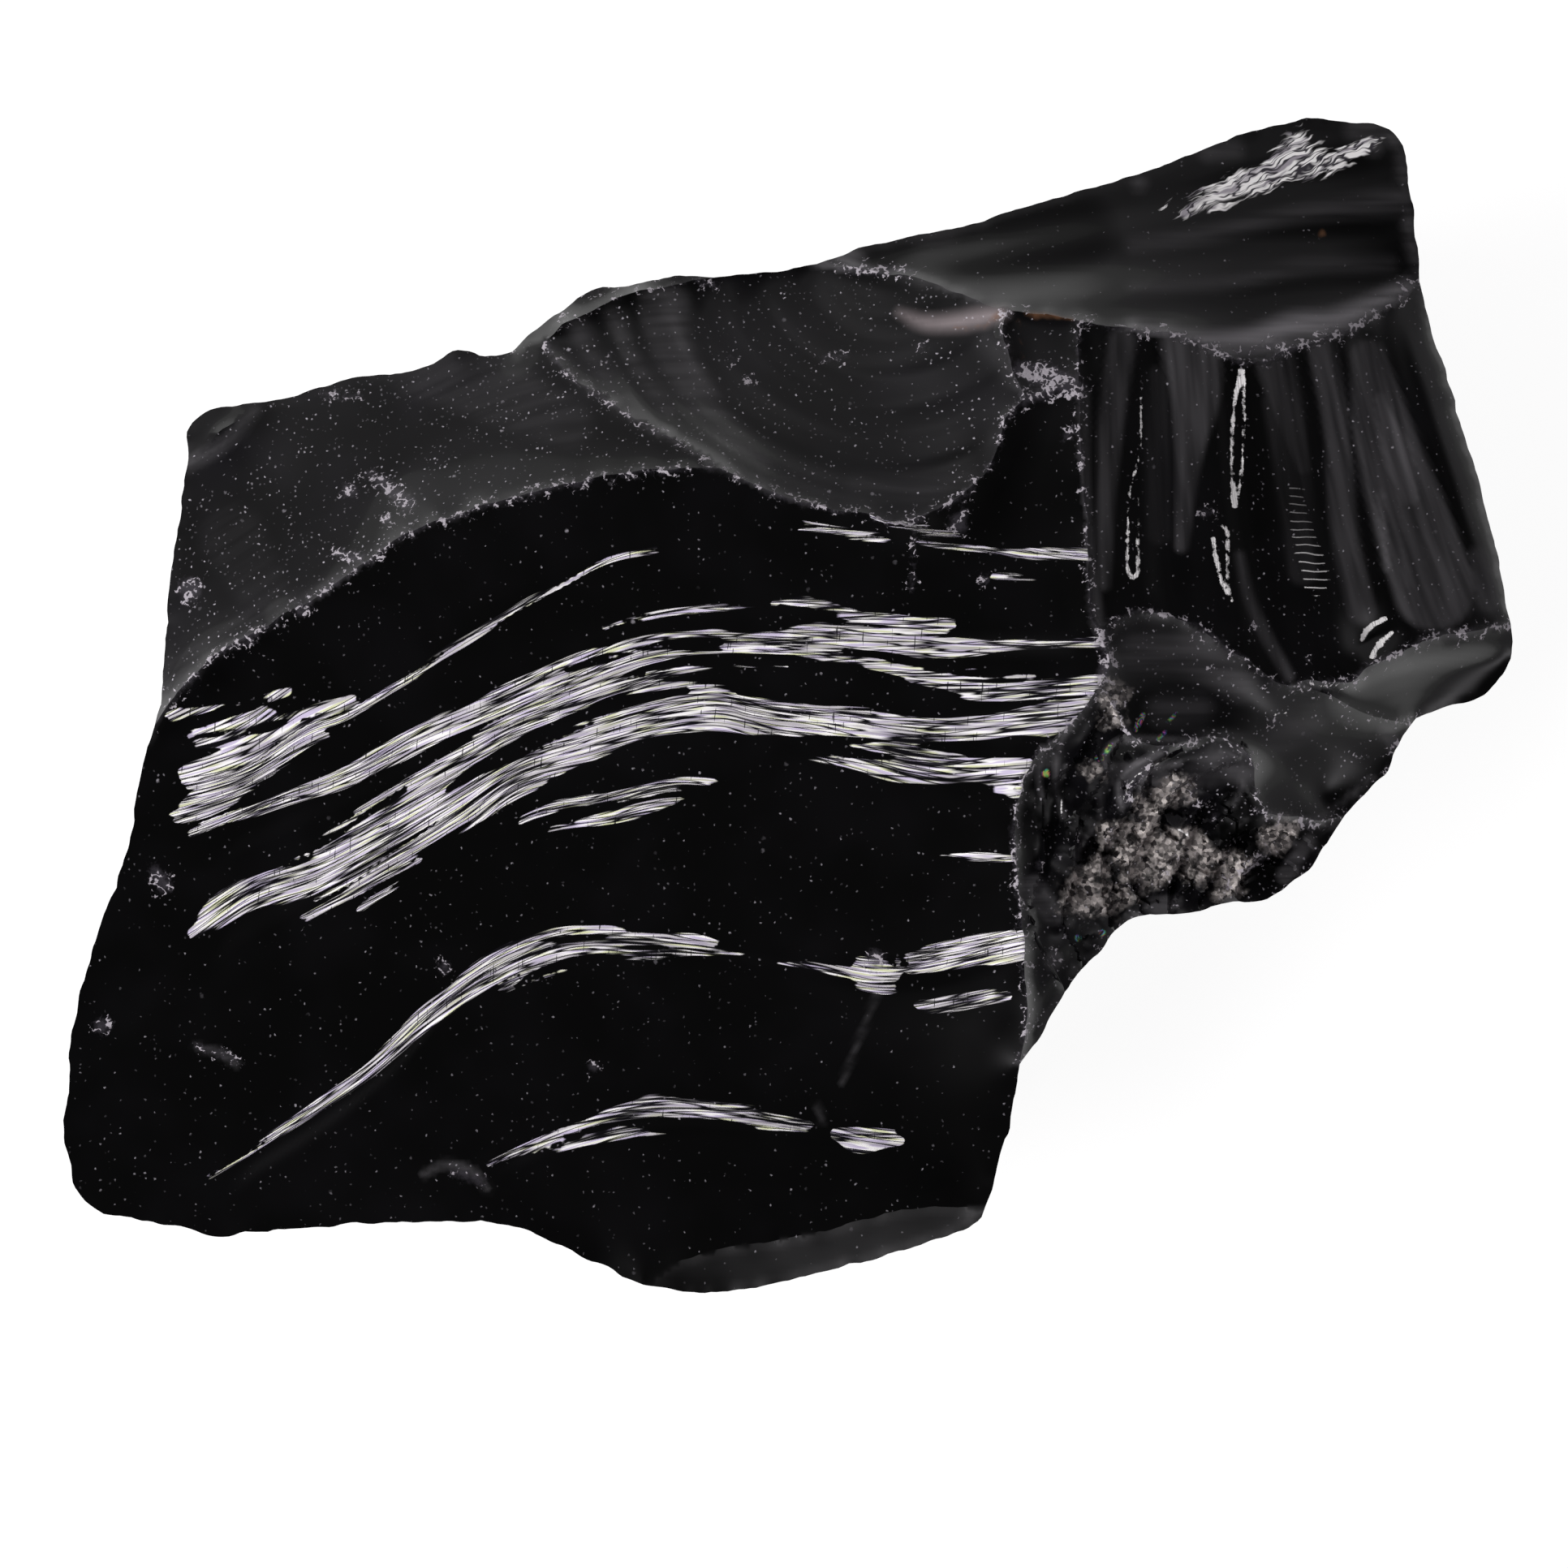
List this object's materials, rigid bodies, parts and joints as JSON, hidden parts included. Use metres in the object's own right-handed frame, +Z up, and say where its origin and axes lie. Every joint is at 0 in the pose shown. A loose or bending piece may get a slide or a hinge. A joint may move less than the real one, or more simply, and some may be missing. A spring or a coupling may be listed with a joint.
{
  "type": "obsidian chunk",
  "caption": "Freshly broken chunk of black volcanic glass with shell-shaped fracture faces, fluted and crushed breaks and a flat underside to lie on",
  "frame": {"origin": "on the flat underside, below the middle of the stone's bounding box", "axes": "X along the stone's longest side, Y across it towards the scarred back edge, Z up out of the broad broken face"},
  "size_m": [0.0604, 0.0492, 0.0181],
  "materials": {
    "volcanic_glass": "glossy, opaque black volcanic glass, freshly broken"
  },
  "bodies": {
    "root": {"obsidian_chunk": "volcanic_glass"}
  },
  "joints": []
}
